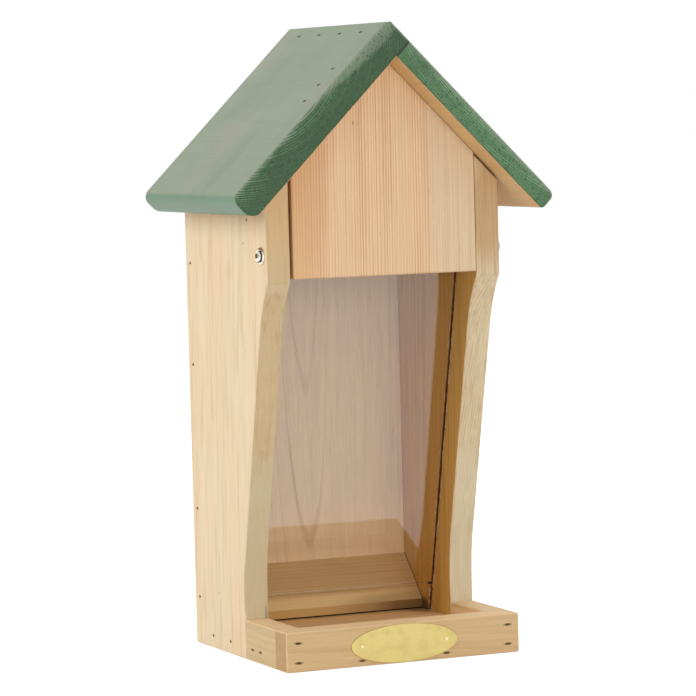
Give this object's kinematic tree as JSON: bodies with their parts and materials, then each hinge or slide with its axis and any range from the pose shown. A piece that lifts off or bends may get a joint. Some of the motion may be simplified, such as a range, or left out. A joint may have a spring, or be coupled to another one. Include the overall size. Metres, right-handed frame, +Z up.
{
  "type": "bird feeding house",
  "caption": "Narrow wooden seed hopper with a clear slanting front pane, a feeding tray at its foot and a green gabled roof that tilts forward for filling.",
  "frame": {"origin": "on the ground, in the middle of the house", "axes": "+X to the right seen from the front, +Y to the back, +Z up"},
  "size_m": [0.2155, 0.158, 0.4],
  "materials": {
    "board_wood": "untreated planed softwood",
    "gable_wood": "untreated planed softwood, fine straight grain",
    "inner_wood": "untreated planed softwood in the house",
    "green_painted_wood": "matt green glaze on planed softwood, bare underneath",
    "clear_acrylic": "clear and polished",
    "plated_steel": "bright plated",
    "plate_brass": "pale satin brass, blank",
    "brad_steel": "dull wire"
  },
  "bodies": {
    "house": {"left_side_panel": "board_wood", "right_side_panel": "board_wood", "back_board": "board_wood", "floor_board": "inner_wood", "seed_ramp": "inner_wood", "tray_left_side": "board_wood", "tray_right_side": "board_wood", "tray_front_board": "board_wood", "left_cup_washer": "plated_steel", "right_cup_washer": "plated_steel", "oval_plate": "plate_brass", "plate_pins": "plate_brass", "pane_stop_pins": "brad_steel", "back_brads": "brad_steel", "floor_brads": "brad_steel", "ramp_brads": "brad_steel", "tray_side_brads": "brad_steel", "tray_corner_brads": "brad_steel", "tray_front_brads": "brad_steel"},
    "roof_lid": {"gable_board": "gable_wood", "left_roof_board": "green_painted_wood", "right_roof_board": "green_painted_wood", "ridge_brads": "brad_steel", "gable_brads": "brad_steel", "left_pivot_screw": "plated_steel", "right_pivot_screw": "plated_steel"},
    "pane": {"seed_pane": "clear_acrylic"}
  },
  "joints": [
    {"name": "lid_tilt", "type": "hinge", "parent": "house", "child": "roof_lid", "pos_m": [0, -0.0515, 0.25732], "axis": [1, 0, 0], "range_deg": [0, 150]},
    {"name": "pane_lift", "type": "slide", "parent": "house", "child": "pane", "axis": [0, -0.2255, 0.9742], "range_m": [0, 0.015]}
  ]
}
